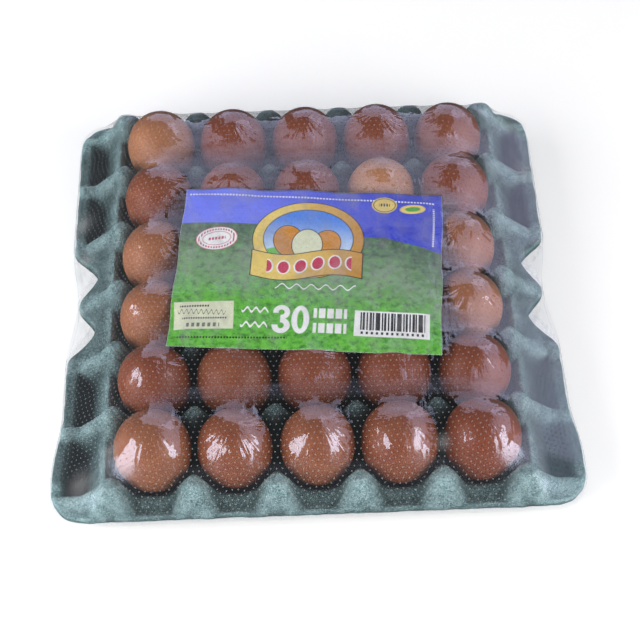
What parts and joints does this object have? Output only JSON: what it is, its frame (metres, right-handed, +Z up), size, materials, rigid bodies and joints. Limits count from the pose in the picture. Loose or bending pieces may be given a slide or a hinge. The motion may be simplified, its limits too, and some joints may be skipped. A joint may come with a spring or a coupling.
{
  "type": "egg carton",
  "caption": "Square tray of eggs in moulded grey-green pulp, with a printed sheet on top and clear perforated film shrunk over all of it.",
  "frame": {"origin": "under the middle of the tray, on the surface that it stands on", "axes": "+Z up, +X along a row of five cups, -Y towards the viewer, along the columns of six cups"},
  "size_m": [0.3038, 0.3018, 0.0598],
  "materials": {
    "pulp": "matt, fibrous moulded pulp",
    "eggshell": "satin brown eggshell",
    "printed_sheet": "satin printed sheet",
    "clear_film": "clear glossy shrink film with pin holes"
  },
  "bodies": {
    "root": {"tray": "pulp", "egg_r1_c1": "eggshell", "egg_r1_c2": "eggshell", "egg_r1_c3": "eggshell", "egg_r1_c4": "eggshell", "egg_r1_c5": "eggshell", "egg_r2_c1": "eggshell", "egg_r2_c2": "eggshell", "egg_r2_c3": "eggshell", "egg_r2_c4": "eggshell", "egg_r2_c5": "eggshell", "egg_r3_c1": "eggshell", "egg_r3_c2": "eggshell", "egg_r3_c3": "eggshell", "egg_r3_c4": "eggshell", "egg_r3_c5": "eggshell", "egg_r4_c1": "eggshell", "egg_r4_c2": "eggshell", "egg_r4_c3": "eggshell", "egg_r4_c4": "eggshell", "egg_r4_c5": "eggshell", "egg_r5_c1": "eggshell", "egg_r5_c2": "eggshell", "egg_r5_c3": "eggshell", "egg_r5_c4": "eggshell", "egg_r5_c5": "eggshell", "egg_r6_c1": "eggshell", "egg_r6_c2": "eggshell", "egg_r6_c3": "eggshell", "egg_r6_c4": "eggshell", "egg_r6_c5": "eggshell", "label": "printed_sheet", "film": "clear_film"}
  },
  "joints": []
}
